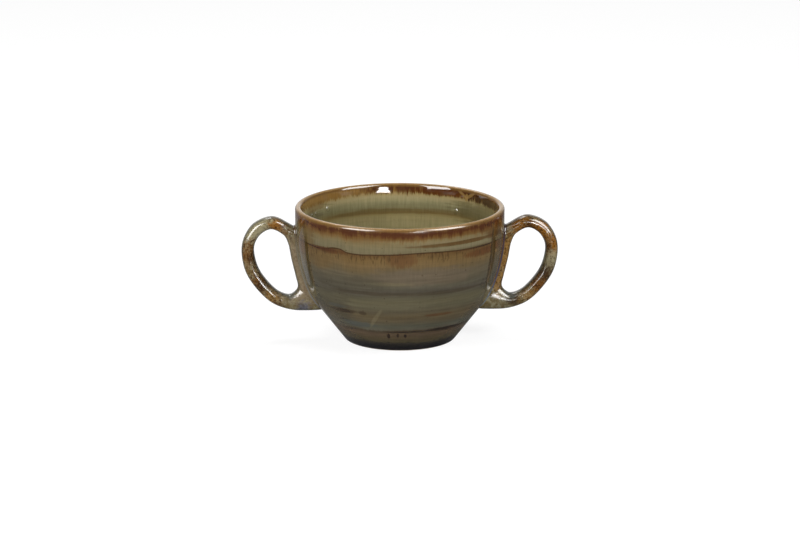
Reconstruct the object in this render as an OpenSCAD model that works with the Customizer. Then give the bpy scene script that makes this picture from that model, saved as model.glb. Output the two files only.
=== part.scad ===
// A soup bowl with two lugs: a jiggered bowl on a foot ring, with two cast
// ring handles luted to its wall. Millimetres, +Z up, the table at z = 0 and
// the axis of the bowl at x = y = 0. The handles stand out along X.

/* [Bowl] */
// Outside diameter of the upright wall under the lip
rim_d = 108; // [102:1:118]
// Height of the lip above the table
bowl_h = 70; // [67:1:78]
// Height of the upright wall, lip included
upright_h = 9; // [6:0.5:12]
// How far inside the upright wall the shoulder lies, where the wall turns in
// towards the foot
shoulder_in = 8; // [6:0.1:9.5]
// Height of the shoulder above the table
shoulder_z = 23; // [20:0.5:25]
// Height on each side of the shoulder that its soft corner takes up
shoulder_soft = 4; // [2:0.5:5]
// Thickness of the wall below the lip
wall_t = 4; // [3:0.1:4.4]
// Thickness of the lip, which is a full round
lip_t = 3.2; // [2.6:0.1:3.8]
// Height over which the inside of the wall eases back to meet the lip
lip_ease_h = 9; // [5:0.5:12]
// Thickness of the floor
floor_t = 4.6; // [3.6:0.1:6]
// Width of the flat part of the floor inside
floor_flat_d = 34; // [24:1:42]

/* [Foot ring] */
// Diameter at which the wall's slope would meet the table
foot_d = 56.6; // [54:0.2:60]
// Radius of the ring's outer edge
foot_edge_r = 0.9; // [0.4:0.1:1.3]
// Width of the bare face that stands on the table
foot_face_w = 3; // [2:0.1:4]
// Height of the ring under the floor
foot_h = 2.4; // [1.8:0.1:3]
// How far the ring's inner side leans in towards the floor
foot_lean = 1.4; // [0.6:0.1:2]

/* [Handles] */
// How far a handle stands out beyond the upright wall
handle_reach = 27.8; // [25:0.2:31]
// Drop from the lip to the highest point of a handle
handle_drop = 5.4; // [3.4:0.2:8]
// Drop from the shoulder to the lowest point of a handle
handle_under = 8.4; // [7.6:0.2:10.4]
// Thickness of the strap, seen from the front
strap_t = 6.9; // [5.6:0.1:7.6]
// Width of the strap, seen from the side
strap_w = 9.6; // [8:0.2:11]
// How far the strap stands off the wall where it runs down it
leg_t = 4; // [3:0.1:4.6]
// Radius of the finger hole's lower corner
hole_corner_r = 3; // [2.4:0.1:3.8]
// Radius of the slip that fills the corner between handle and wall
seam_r = 0.9; // [0.7:0.1:1.4]

/* [Hidden] */

// Glaze and clay colours
olive_glaze = [0.42, 0.37, 0.26];
rust_glaze = [0.45, 0.28, 0.12];
pooled_glaze = [0.38, 0.38, 0.36];
bare_clay = [0.82, 0.77, 0.69];

// Sizes that follow from the driving ones
rim_r = rim_d / 2;
shoulder_r = rim_r - shoulder_in;
foot_r = foot_d / 2;
upright_z = bowl_h - upright_h;
floor_z = foot_h + floor_t;
wall_slope = (shoulder_r - foot_r) / shoulder_z;
wall_rise = upright_z - shoulder_z;
belly_r = (pow(shoulder_in, 2) + pow(wall_rise, 2)) / (2 * shoulder_in);
handle_low_z = shoulder_z - handle_under;
handle_h = bowl_h - handle_drop - handle_low_z;

// Running clearance of the raw joint between handle, slip and wall
joint_gap = 0.04;
// Offset that keeps the slip off the rounded strap, which it wraps
slip_gap = 0.12;
// Length, and angle round a section, over which a direction is measured
probe = 0.01;
probe_angle = 1;

// How finely curves are drawn
round_steps = 10;
belly_steps = 16;
ease_steps = 8;
bend_steps = 12;
turn_fn = 96;

// Height at which the inside leaves the wall's curve and bends to the floor,
// as a share of the wall's rise above the shoulder
bend_start_share = 0.125;
// Reach of the bend's two tangents, as shares of its height and of its width
bend_wall_share = 0.38;
bend_floor_share = 0.46;

// Outer outline of a handle where it stands free, from its top outwards and
// down to its underside, as shares of handle_reach beyond the rim and of
// handle_h above the lowest point
free_shares = [[0.42, 1], [0.755, 0.935], [0.945, 0.79], [1, 0.63],
               [0.935, 0.43], [0.765, 0.265], [0.5, 0.11], [0.22, 0.032],
               [-0.12, 0.002]];
// The free outline's last point, just above the joint with the wall
neck_share = [0.1, 0.92];
// Thickness of the strap at each of those points, as shares of strap_t: it
// swells towards the wall, and most at the lower joint
strap_shares = [0.95, 0.96, 0.93, 0.95, 1, 1, 1, 1.06];
neck_strap_share = 0.95;
// Stations up the wall: height of the strap's hidden back, height of its
// front, which is the side of the finger hole, and share of leg_t there
leg_shares = [[0.03, 0.26, 1.25], [0.2, 0.36, 1.06], [0.38, 0.46, 1],
              [0.55, 0.555, 1], [0.7, 0.64, 1], [0.83, 0.715, 1.08]];
// Depth of the hidden back behind the wall's face, as a share of strap_t
back_share = 0.45;
// Place of the hole's lower corner off its two sides, as shares of its radius
corner_in_share = 0.55;
corner_up_share = 0.5;
// Squareness of the strap's section: 1 is an ellipse
section_power = 0.88;
// Middle of the joint, in stations past the hole's corner, and its reach from
// there in stations and in degrees round the section
joint_after_corner = 3.7;
joint_stations = 4.4;
joint_degrees = 150;

// Sections round a handle between two stations, and sides of a section
station_steps = 5;
strap_sides = 24;
// Places round a seam, and steps of its hollow
seam_places = 56;
seam_steps = 5;
// Halvings in the search for the seam's contact line
search_steps = 16;

// A quadratic curve from a to b that leaves and arrives along lines through c
function soft_corner(a, c, b, n) =
    [for (i = [0:n]) let (t = i / n)
        (1 - t) * (1 - t) * a + 2 * t * (1 - t) * c + t * t * b];

// A cubic curve from a to b with the tangent points c and d
function bend(a, c, d, b, n) =
    [for (i = [0:n]) let (t = i / n, s = 1 - t)
        s * s * s * a + 3 * s * s * t * c + 3 * s * t * t * d + t * t * t * b];

// Radius of the belly's arc at a height between shoulder and upright wall
function belly_at(z) =
    rim_r - belly_r + sqrt(belly_r * belly_r - pow(max(upright_z - z, 0), 2));

// Radius of the slope between the foot and the shoulder
function slope_at(z) = foot_r + wall_slope * z;

// Outside of the wall from a given height to the crown of the lip, as [r, z]
soft_low = [slope_at(shoulder_z - shoulder_soft), shoulder_z - shoulder_soft];
soft_high = [belly_at(shoulder_z + shoulder_soft), shoulder_z + shoulder_soft];
lip_r = lip_t / 2;
lip_centre = [rim_r - lip_r, bowl_h - lip_r];
outside = concat(
    [[slope_at(foot_h), foot_h]],
    soft_corner(soft_low, [shoulder_r, shoulder_z], soft_high, round_steps),
    [for (i = [1:belly_steps]) let (
        z = soft_high[1] + (upright_z - soft_high[1]) * i / belly_steps)
        [belly_at(z), z]],
    [for (i = [0:round_steps]) let (a = 90 * i / round_steps)
        lip_centre + lip_r * [cos(a), sin(a)]]);

// Radius of the outside of the wall at a height
wall_table = [for (p = outside) [p[1], p[0]]];
function wall_at(z) = lookup(z, wall_table);
function wall_lean(z) = (wall_at(z + probe) - wall_at(z - probe)) / (2 * probe);

// Inside of the wall at a height: wall_t thick up to where the ease begins, and
// from there thinner by the square of the share of its height
ease_z = lip_centre[1] - lip_ease_h;
function inside_at(z) = let (
    t = wall_t + (lip_t - wall_t) * pow(max(z - ease_z, 0) / lip_ease_h, 2))
    belly_at(z) - t * sqrt(1 + pow(wall_lean(z), 2));

bend_z = shoulder_z + bend_start_share * wall_rise;
bend_h = bend_z - floor_z;
bend_top = [inside_at(bend_z), bend_z];
bend_end = [floor_flat_d / 2, floor_z];
inside = concat(
    [for (i = [round_steps - 1:-1:0]) let (a = 90 * i / round_steps)
        lip_centre + lip_r * [-cos(a), sin(a)]],
    [for (i = [ease_steps - 1:-1:1]) let (
        z = ease_z + lip_ease_h * i / ease_steps)
        [inside_at(z), z]],
    [for (i = [belly_steps:-1:1]) let (
        z = bend_z + (ease_z - bend_z) * i / belly_steps)
        [inside_at(z), z]],
    bend(bend_top,
         bend_top - bend_wall_share * bend_h * [wall_lean(bend_z), 1],
         bend_end + bend_floor_share * (bend_top[0] - bend_end[0]) * [1, 0],
         bend_end, bend_steps));

// The jiggered bowl: floor, sloping lower wall, belly, upright wall and lip
module bowl_body() {
    color(olive_glaze)
        rotate_extrude($fn = turn_fn)
            polygon(concat([[0, foot_h]], outside, inside, [[0, floor_z]]));
}

// The turned ring that the bowl stands on, bare of glaze where it touches
foot_face_r = foot_r - foot_edge_r;
module foot_ring() {
    face_in = foot_face_r - foot_face_w;
    color(bare_clay)
        rotate_extrude($fn = turn_fn)
            polygon(concat(
                [[face_in, 0]],
                soft_corner([foot_face_r, 0], [foot_r, 0],
                            [slope_at(foot_edge_r), foot_edge_r], round_steps),
                [[slope_at(foot_h), foot_h], [face_in - foot_lean, foot_h]]));
}

// A closed smooth curve through points, at t counted in points
function ring_at(points, t) = let (
    n = len(points), k = floor(t), f = t - k,
    a = points[(k + n - 1) % n], b = points[k % n],
    c = points[(k + 1) % n], d = points[(k + 2) % n])
    b + f / 2 * (c - a) + f * f / 2 * (2 * a - 5 * b + 4 * c - d)
      + f * f * f / 2 * (3 * b - a - 3 * c + d);

// A handle's two outlines in its own plane, as [x, z], station by station
function loop_point(share) =
    [rim_r + share[0] * handle_reach, handle_low_z + share[1] * handle_h];
function leg_z(share) = handle_low_z + share * handle_h;
leg_back = [for (s = leg_shares) let (z = leg_z(s[0]))
    [wall_at(z) - back_share * strap_t, z]];
leg_front = [for (s = leg_shares) let (z = leg_z(s[1]))
    [wall_at(z) + s[2] * leg_t, z]];
free_outer = [for (s = free_shares) loop_point(s)];
outer_line = concat(free_outer, leg_back, [loop_point(neck_share)]);
stations = len(outer_line);
corner_station = len(free_shares) - 1;

// The point inside the outer outline at a station by a share of strap_t
function strap_inside(i, share) = let (
    before = outer_line[(i + stations - 1) % stations],
    after = outer_line[(i + 1) % stations],
    along = (after - before) / norm(after - before))
    outer_line[i] + share * strap_t * [along[1], -along[0]];
hole_free = [for (i = [0:corner_station - 1])
    strap_inside(i, strap_shares[i])];
hole_low = hole_free[corner_station - 1];
hole_corner = [
    leg_front[0][0] + corner_in_share * hole_corner_r,
    hole_low[1] + corner_up_share * hole_corner_r];
hole_line = concat(hole_free, [hole_corner], leg_front,
    [strap_inside(stations - 1, neck_strap_share)]);

// A point of the strap's skin: station u, and angle v round the section from
// the outer outline (0) to the finger hole (180)
function power(x) = sign(x) * pow(abs(x), section_power);
function skin(u, v) = let (
    t = u - stations * floor(u / stations),
    far = ring_at(outer_line, t), near = ring_at(hole_line, t),
    p = (far + near) / 2 + power(cos(v)) * (far - near) / 2)
    [p[0], power(sin(v)) * strap_w / 2, p[1]];

// The same point, moved out along X to the wall's face if it lies behind it
function on_wall(p, gap) = let (r = wall_at(p[2]) + gap)
    norm([p[0], p[1]]) < r ? [sqrt(r * r - p[1] * p[1]), p[1], p[2]] : p;

// A closed ring of sections, each a closed loop of as many points
module ring_solid(sections) {
    n = len(sections);
    m = len(sections[0]);
    polyhedron(
        points = [for (s = sections) each s],
        faces = [for (i = [0:n - 1], j = [0:m - 1]) let (
            a = i * m + j, b = i * m + (j + 1) % m,
            c = (i + 1) % n * m + (j + 1) % m, d = (i + 1) % n * m + j)
            each [[a, b, c], [a, c, d]]]);
}

// The cast ring handle, with its back shaped to the wall
module handle() {
    places = stations * station_steps;
    color(rust_glaze)
        ring_solid([for (i = [0:places - 1])
            [for (j = [0:strap_sides - 1])
                on_wall(skin(i / station_steps, 360 * j / strap_sides),
                        joint_gap)]]);
}

// Distance of a point from the wall's face, measured square to the wall
function off_wall(p) = (norm([p[0], p[1]]) - wall_at(p[2]))
    / sqrt(1 + pow(wall_lean(p[2]), 2));

// Outward direction of the strap's skin
function skin_out(u, v) = let (
    du = skin(u + probe, v) - skin(u - probe, v),
    dv = skin(u, v + probe_angle) - skin(u, v - probe_angle),
    n = cross(du, dv))
    n / norm(n);

// Where a ball of radius seam_r touches both skin and wall: found along a ray
// that leaves the middle of the joint, by halving
joint_middle = corner_station + joint_after_corner;
function ray(a, s) =
    [joint_middle + s * joint_stations * cos(a), s * joint_degrees * sin(a)];
function ball(uv) = skin(uv[0], uv[1]) + seam_r * skin_out(uv[0], uv[1]);
function contact(a, low = 0, high = 1, n = search_steps) = let (
    s = (low + high) / 2)
    n == 0 ? ray(a, s)
    : off_wall(ball(ray(a, s))) < seam_r ? contact(a, s, high, n - 1)
    : contact(a, low, s, n - 1);
function root(a, low = 0, high = 1, n = search_steps) = let (
    s = (low + high) / 2, uv = ray(a, s))
    n == 0 ? uv
    : off_wall(skin(uv[0], uv[1])) < 0 ? root(a, s, high, n - 1)
    : root(a, low, s, n - 1);

// The point of the wall's face nearest to a point off it
function wall_foot(p) = let (
    lean = wall_lean(p[2]), d = off_wall(p) - joint_gap,
    r = norm([p[0], p[1]]), s = sqrt(1 + lean * lean))
    [p[0] - d / s * p[0] / r, p[1] - d / s * p[1] / r, p[2] + d / s * lean];

// One section of the slip: up the skin from the root, then down the hollow
// that the ball leaves, to the wall
function skin_off(uv) = on_wall(
    skin(uv[0], uv[1]) + slip_gap * skin_out(uv[0], uv[1]), joint_gap);
function seam_section(a) = let (
    up = contact(a), low = root(a), mid = (up + low) / 2,
    centre = ball(up), foot = wall_foot(centre),
    from_skin = (skin_off(up) - centre), from_wall = foot - centre)
    concat(
        [skin_off(low), skin_off(mid)],
        [for (i = [0:seam_steps]) let (
            t = i / seam_steps, d = (1 - t) * from_skin + t * from_wall,
            r = (1 - t) * norm(from_skin) + t * norm(from_wall))
            centre + r * d / norm(d)]);

// The slip squeezed out round a handle's joint and sponged to a hollow
module handle_seam() {
    color(pooled_glaze)
        ring_solid([for (i = [0:seam_places - 1])
            seam_section(360 * i / seam_places)]);
}

module right_handle() { handle(); }
module left_handle() { mirror([1, 0, 0]) handle(); }
module right_handle_seam() { handle_seam(); }
module left_handle_seam() { mirror([1, 0, 0]) handle_seam(); }

bowl_body();
foot_ring();
left_handle();
right_handle();
left_handle_seam();
right_handle_seam();
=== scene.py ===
"""Dresses a stoneware soup bowl with two lugs in its streaked reactive glaze.

Shapes are worked out in millimetres, with +Z up, the table at z = 0 and the
bowl's axis at x = y = 0, and are scaled to metres as they become meshes.
Angles round the bowl are in degrees from its front (-Y) towards +X.
"""
import math
from types import SimpleNamespace

import bpy
import numpy as np
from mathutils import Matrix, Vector


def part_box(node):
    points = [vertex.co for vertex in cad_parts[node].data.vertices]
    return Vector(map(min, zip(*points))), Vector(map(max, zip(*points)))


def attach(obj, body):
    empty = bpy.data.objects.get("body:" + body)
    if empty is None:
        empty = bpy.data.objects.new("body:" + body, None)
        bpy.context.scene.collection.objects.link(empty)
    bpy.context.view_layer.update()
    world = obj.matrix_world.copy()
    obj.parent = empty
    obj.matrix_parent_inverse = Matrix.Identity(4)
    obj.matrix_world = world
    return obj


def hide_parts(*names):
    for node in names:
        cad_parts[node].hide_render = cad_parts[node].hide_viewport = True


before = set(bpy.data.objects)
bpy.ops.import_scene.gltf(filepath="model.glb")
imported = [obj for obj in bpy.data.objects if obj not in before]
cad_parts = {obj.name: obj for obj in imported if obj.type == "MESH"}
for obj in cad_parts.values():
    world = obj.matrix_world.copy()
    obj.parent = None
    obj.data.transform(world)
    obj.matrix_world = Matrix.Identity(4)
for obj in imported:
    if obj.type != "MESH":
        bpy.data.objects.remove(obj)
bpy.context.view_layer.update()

MM = 0.001

# The camera stands where the photograph's did
VIEW_ELEVATION = 14.14
VIEW_AZIMUTH = -1.81
VIEW_DISTANCE = 1.8
LENS = 156.4
SEEN_POINT = Vector((0, 0, 35 * MM))
AIM_POINT = Vector((0.1 * MM, 0, 37.5 * MM))


def direction(azimuth, elevation):
    """Unit vector from the bowl: (sin a cos e, -cos a cos e, sin e), with azimuth 0 at the front."""
    a, e = math.radians(azimuth), math.radians(elevation)
    return Vector((math.sin(a) * math.cos(e), -math.cos(a) * math.cos(e), math.sin(e)))


def added(name, data):
    """An object of a mesh, a lamp or a camera, in the scene."""
    thing = bpy.data.objects.new(name, data)
    bpy.context.scene.collection.objects.link(thing)
    return thing


def aim(thing, seen, azimuth, elevation, distance, aimed):
    """Sets a camera or a lamp some way off a point that it circles, aimed at a point."""
    thing.location = seen + direction(azimuth, elevation) * distance
    thing.rotation_euler = (aimed - thing.location).to_track_quat("-Z", "Y").to_euler()


camera = added("camera", bpy.data.cameras.new("camera"))
camera.data.lens = LENS
aim(camera, SEEN_POINT, VIEW_AZIMUTH, VIEW_ELEVATION, VIEW_DISTANCE, AIM_POINT)
bpy.context.scene.camera = camera

# Sizes that the frame gives
_, bowl_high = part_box("bowl_body")
_, foot_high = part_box("foot_ring")
RIM_R = bowl_high.x / MM
BOWL_H = bowl_high.z / MM
FOOT_H = foot_high.z / MM

# The bowl's other sizes, as its maker would set them
UPRIGHT_H = 9
SHOULDER_IN = 8
SHOULDER_Z = 23
SHOULDER_SOFT = 4
WALL_T = 4
LIP_T = 3.2
LIP_EASE_H = 9
FLOOR_T = 4.6
FLOOR_FLAT_R = 17
FOOT_R = 28.3
FOOT_EDGE_R = 0.9
FOOT_FACE_W = 3
FOOT_LEAN = 1.4
BEND_START_SHARE = 0.125
BEND_WALL_SHARE = 0.38
BEND_FLOOR_SHARE = 0.46

# The handles' sizes
HANDLE_REACH = 27.8
HANDLE_DROP = 5.4
HANDLE_UNDER = 8.4
STRAP_T = 6.9
STRAP_W = 9.6
LEG_T = 4
HOLE_CORNER_R = 3
SEAM_R = 0.9

SHOULDER_R = RIM_R - SHOULDER_IN
UPRIGHT_Z = BOWL_H - UPRIGHT_H
WALL_SLOPE = (SHOULDER_R - FOOT_R) / SHOULDER_Z
WALL_RISE = UPRIGHT_Z - SHOULDER_Z
BELLY_R = (SHOULDER_IN ** 2 + WALL_RISE ** 2) / (2 * SHOULDER_IN)
FLOOR_Z = FOOT_H + FLOOR_T
LIP_R = LIP_T / 2
LIP_CENTRE = np.array([RIM_R - LIP_R, BOWL_H - LIP_R])
EASE_Z = LIP_CENTRE[1] - LIP_EASE_H
LIP_LEAN = math.atan(2 * (WALL_T - LIP_T) / LIP_EASE_H)
EASE_TOP_Z = LIP_CENTRE[1] + LIP_R * math.sin(LIP_LEAN)
EASE_RATE = math.tan(LIP_LEAN) / (2 * (EASE_TOP_Z - EASE_Z))
HANDLE_LOW = SHOULDER_Z - HANDLE_UNDER
HANDLE_H = BOWL_H - HANDLE_DROP - HANDLE_LOW

# Points round the bowl and round a handle's section
TURNS = 448
STRAP_SIDES = 72
STATION_STEPS = 14
SEAM_PLACES = 240
# Edges of the revolved pieces that turn by more than this are sharp
SHARP_ANGLE = math.radians(35)


def bezier(count, *points):
    """Points of a Bezier curve, without its last: the sum of C(n, k) (1 - t)^(n - k) t^k p_k."""
    t = np.linspace(0, 1, count, endpoint=False)[:, None]
    last = len(points) - 1
    return sum(math.comb(last, k) * (1 - t) ** (last - k) * t ** k * np.array(point, float)
               for k, point in enumerate(points))


def arc(start, end, count):
    """Points round the lip's edge between two angles: centre + r (cos, sin)."""
    turn = np.linspace(start, end, count)
    return LIP_CENTRE + LIP_R * np.stack([np.cos(turn), np.sin(turn)], 1)


def slope_radius(z):
    """The straight slope between foot and shoulder: foot radius + slope z."""
    return FOOT_R + WALL_SLOPE * z


def belly_radius(z):
    """The belly's arc, which turns upright at its top: rim - R + sqrt(R^2 - (top - z)^2)."""
    return RIM_R - BELLY_R + np.sqrt(BELLY_R ** 2 - np.maximum(UPRIGHT_Z - z, 0) ** 2)


def belly_lean(z):
    """How fast the belly's radius grows with height: (top - z) / sqrt(R^2 - (top - z)^2)."""
    drop = np.maximum(UPRIGHT_Z - z, 0)
    return drop / np.sqrt(BELLY_R ** 2 - drop ** 2)


def inner_radius(z):
    """The inside of the wall: the belly less the thickness square to it, wall - rate (z - ease z)^2."""
    thickness = WALL_T - EASE_RATE * np.maximum(z - EASE_Z, 0) ** 2
    return belly_radius(z) - thickness * np.sqrt(1 + belly_lean(z) ** 2)


SOFT_LOW_Z = SHOULDER_Z - SHOULDER_SOFT
SOFT_HIGH_Z = SHOULDER_Z + SHOULDER_SOFT


def outside_section():
    """[radius, height] up the outside, from the foot to the crown of the lip."""
    soft_low = [slope_radius(SOFT_LOW_Z), SOFT_LOW_Z]
    soft_high = [belly_radius(SOFT_HIGH_Z), SOFT_HIGH_Z]
    heights = np.linspace(SOFT_HIGH_Z, LIP_CENTRE[1], 50, endpoint=False)
    return np.concatenate([
        bezier(22, [slope_radius(FOOT_H), FOOT_H], soft_low),
        bezier(14, soft_low, [SHOULDER_R, SHOULDER_Z], soft_high),
        np.stack([belly_radius(heights), heights], 1),
        arc(0, math.pi / 2, 17)])


def inside_section():
    """[radius, height] down the inside, from the crown of the lip to the middle of the floor."""
    bend_z = SHOULDER_Z + BEND_START_SHARE * WALL_RISE
    top = np.array([inner_radius(bend_z), bend_z])
    end = np.array([FLOOR_FLAT_R, FLOOR_Z])
    heights = np.concatenate([
        np.linspace(EASE_TOP_Z, EASE_Z, 16, endpoint=False),
        np.linspace(EASE_Z, bend_z, 36, endpoint=False)])
    return np.concatenate([
        arc(math.pi / 2, math.pi - LIP_LEAN, 16)[1:-1],
        np.stack([inner_radius(heights), heights], 1),
        bezier(22, top, top - BEND_WALL_SHARE * (bend_z - FLOOR_Z) * np.array([belly_lean(bend_z), 1]),
               end + BEND_FLOOR_SHARE * (top[0] - end[0]) * np.array([1, 0]), end),
        bezier(7, end, [0, FLOOR_Z]), [[0, FLOOR_Z]]])


WALL = outside_section()


def wall_radius(z):
    """The outside of the wall at a height, read off its section."""
    return np.interp(z, WALL[:, 1], WALL[:, 0])


def wall_lean(z, probe=0.05):
    """How fast the outside's radius grows with height, from two points probe away."""
    return (wall_radius(z + probe) - wall_radius(z - probe)) / (2 * probe)


def mesh_piece(name, points, faces, attributes=()):
    """A smooth mesh object from points in mm and arrays of faces, each a row of corner numbers."""
    corners = np.concatenate([face.ravel() for face in faces])
    counts = np.concatenate([np.full(len(face), face.shape[1]) for face in faces])
    mesh = bpy.data.meshes.new(name)
    mesh.vertices.add(len(points))
    mesh.vertices.foreach_set("co", (points * MM).astype(np.float32).ravel())
    mesh.loops.add(len(corners))
    mesh.loops.foreach_set("vertex_index", corners.astype(np.int32))
    mesh.polygons.add(len(counts))
    mesh.polygons.foreach_set("loop_start", (np.cumsum(counts) - counts).astype(np.int32))
    mesh.polygons.foreach_set("use_smooth", np.ones(len(counts), bool))
    for label, values in attributes:
        layer = mesh.attributes.new(label, "FLOAT", "POINT")
        layer.data.foreach_set("value", values.astype(np.float32).ravel())
    mesh.update(calc_edges=True)
    mesh.validate()
    return added(name, mesh)


def lattice(rows, columns, rows_close):
    """Corner numbers of the quads of a grid whose columns close, and whose rows close if asked."""
    last = rows if rows_close else rows - 1
    i, j = np.meshgrid(np.arange(last), np.arange(columns), indexing="ij")
    here, beside = i * columns + j, i * columns + (j + 1) % columns
    above, across = (i + 1) % rows * columns + j, (i + 1) % rows * columns + (j + 1) % columns
    return np.stack([here, beside, across, above], -1).reshape(-1, 4)


def revolved(name, section, sway, attributes=()):
    """Turns a section about the axis: (r sin a, -r cos a, z), with r shifted by sway(a, z).

    Where the section's ends lie on the axis, each is one pole closed by a fan of triangles.
    """
    angle = np.linspace(0, 2 * math.pi, TURNS, endpoint=False)
    poles = [0, -1] if section[0, 0] == 0 else []
    body = slice(1, -1) if poles else slice(None)
    height = section[body, 1:]
    r = section[body, :1] + sway(angle[None, :], height)
    points = np.stack([r * np.sin(angle), -r * np.cos(angle), height + 0 * r], -1).reshape(-1, 3)
    faces = [lattice(len(height), TURNS, not poles)]
    if poles:
        ring, low = np.arange(TURNS), np.full(TURNS, len(points))
        turned, top = np.roll(ring, -1), len(points) - TURNS
        faces += [np.stack([turned, ring, low], -1), np.stack([top + ring, top + turned, low + 1], -1)]
        points = np.concatenate([points, [[0, 0, section[pole, 1]] for pole in poles]])
    spread = [(label, np.concatenate([np.repeat(values[body], TURNS), values[poles]]))
              for label, values in attributes]
    piece = mesh_piece(name, points, faces, spread)
    piece.data.set_sharp_from_angle(angle=SHARP_ANGLE)
    return piece


HAND_SWAY = 0.12


def bowl_sway(angle, height):
    """The slight unevenness of a jiggered wall, none beside the handles: -s cos^2 a (1 + waves) / 2."""
    wave = 0.6 * np.sin(2 * angle + 0.05 * height + 1.1) + 0.4 * np.sin(5 * angle - 0.13 * height)
    return -HAND_SWAY * np.cos(angle) ** 2 * (1 + wave) / 2


def make_bowl():
    """The bowl's whole skin, with the distance from the crown of its lip, outside negative, as from_lip."""
    outside, inside = outside_section(), inside_section()
    underside = bezier(12, [0, FOOT_H], outside[0])
    section = np.concatenate([underside, outside, inside])
    steps = np.linalg.norm(np.diff(section, axis=0), axis=1)
    along = np.concatenate([[0], np.cumsum(steps)])
    crown = len(underside) + len(outside) - 1
    return revolved("glazed_bowl", section, bowl_sway, [("from_lip", along - along[crown])])


def make_foot():
    """The turned ring: face, round outer edge, outer side, top and leaning inner side."""
    face_out = FOOT_R - FOOT_EDGE_R
    face_in = face_out - FOOT_FACE_W
    edge_top = [slope_radius(FOOT_EDGE_R), FOOT_EDGE_R]
    top_out = [slope_radius(FOOT_H), FOOT_H]
    top_in = [face_in - FOOT_LEAN, FOOT_H]
    section = np.concatenate([
        bezier(16, [face_in, 0], [face_out, 0]),
        bezier(10, [face_out, 0], [FOOT_R, 0], edge_top),
        bezier(10, edge_top, top_out),
        bezier(12, top_out, top_in),
        bezier(12, top_in, [face_in, 0])])
    return revolved("turned_foot", section, lambda angle, height: 0 * (angle + height))


# A handle's outlines as shares of its reach and height: the free outline, the strap's thickness
# along it, and the stations of the leg that runs down the wall
FREE_SHARES = [[0.42, 1], [0.755, 0.935], [0.945, 0.79], [1, 0.63], [0.935, 0.43],
               [0.765, 0.265], [0.5, 0.11], [0.22, 0.032], [-0.12, 0.002]]
NECK_SHARE = [0.1, 0.92]
STRAP_SHARES = [0.95, 0.96, 0.93, 0.95, 1, 1, 1, 1.06]
NECK_STRAP_SHARE = 0.95
LEG_SHARES = [[0.03, 0.26, 1.25], [0.2, 0.36, 1.06], [0.38, 0.46, 1],
              [0.55, 0.555, 1], [0.7, 0.64, 1], [0.83, 0.715, 1.08]]
BACK_SHARE = 0.45
CORNER_IN_SHARE = 0.55
CORNER_UP_SHARE = 0.5
SECTION_POWER = 0.88
JOINT_AFTER_CORNER = 3.7
JOINT_STATIONS = 4.4
JOINT_DEGREES = 150
HALVINGS = 24
# How far hidden edges are let into the wall or the strap
LET_IN = 0.5
SEAM_LET_IN = 0.018


def handle_outlines():
    """Outer outline and finger hole as [x, z] stations: free part, the leg's back or front, and the neck."""
    free, neck = ([RIM_R, HANDLE_LOW] + np.array(shares) * [HANDLE_REACH, HANDLE_H]
                  for shares in (FREE_SHARES, [NECK_SHARE]))
    legs = np.array(LEG_SHARES)
    back_z, front_z = HANDLE_LOW + legs[:, 0] * HANDLE_H, HANDLE_LOW + legs[:, 1] * HANDLE_H
    leg_back = np.stack([wall_radius(back_z) - BACK_SHARE * STRAP_T, back_z], 1)
    leg_front = np.stack([wall_radius(front_z) + legs[:, 2] * LEG_T, front_z], 1)
    outer = np.concatenate([free, leg_back, neck])
    along = np.roll(outer, -1, 0) - np.roll(outer, 1, 0)
    along /= np.linalg.norm(along, axis=1, keepdims=True)
    inward = np.stack([along[:, 1], -along[:, 0]], 1) * STRAP_T
    corner = len(FREE_SHARES) - 1
    hole_free = outer[:corner] + inward[:corner] * np.array(STRAP_SHARES)[:, None]
    hole_corner = [leg_front[0, 0] + CORNER_IN_SHARE * HOLE_CORNER_R,
                   hole_free[-1, 1] + CORNER_UP_SHARE * HOLE_CORNER_R]
    hole_neck = outer[-1] + inward[-1] * NECK_STRAP_SHARE
    return outer, np.concatenate([hole_free, [hole_corner], leg_front, [hole_neck]])


OUTER_LINE, HOLE_LINE = handle_outlines()
STATIONS = len(OUTER_LINE)


def closed_curve(points, t):
    """The smooth closed curve through points at t counted in points (a Catmull-Rom cubic)."""
    k = np.floor(t).astype(int)
    f = (t - k)[..., None]
    a, b, c, d = (points[(k + i) % len(points)] for i in (-1, 0, 1, 2))
    return (b + f / 2 * (c - a) + f ** 2 / 2 * (2 * a - 5 * b + 4 * c - d)
            + f ** 3 / 2 * (3 * b - a - 3 * c + d))


def squared(x):
    """A sine or cosine made slightly squarer: sign(x) |x| ^ power."""
    return np.sign(x) * np.abs(x) ** SECTION_POWER


def strap_skin(u, v):
    """The strap's skin at station u and angle v round its section, 0 at the outer outline.

    middle + squared(cos v) (far - near) / 2 in the handle's plane, and squared(sin v) width / 2 across it.
    """
    far, near = closed_curve(OUTER_LINE, u), closed_curve(HOLE_LINE, u)
    flat = (far + near) / 2 + squared(np.cos(v))[..., None] * (far - near) / 2
    return np.stack([flat[..., 0], squared(np.sin(v)) * STRAP_W / 2, flat[..., 1]], -1)


def skin_outward(u, v, probe=0.01):
    """The skin's outward direction: the cross product of its two derivatives."""
    normal = np.cross(strap_skin(u + probe, v) - strap_skin(u - probe, v),
                      strap_skin(u, v + probe) - strap_skin(u, v - probe))
    return normal / np.linalg.norm(normal, axis=-1, keepdims=True)


def against_wall(p, gap):
    """Points that lie behind the wall's face less a gap are moved out along X to it."""
    r = wall_radius(p[..., 2]) + gap
    moved = np.stack([np.sqrt(np.maximum(r ** 2 - p[..., 1] ** 2, 0)), p[..., 1], p[..., 2]], -1)
    return np.where((np.hypot(p[..., 0], p[..., 1]) < r)[..., None], moved, p)


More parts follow.
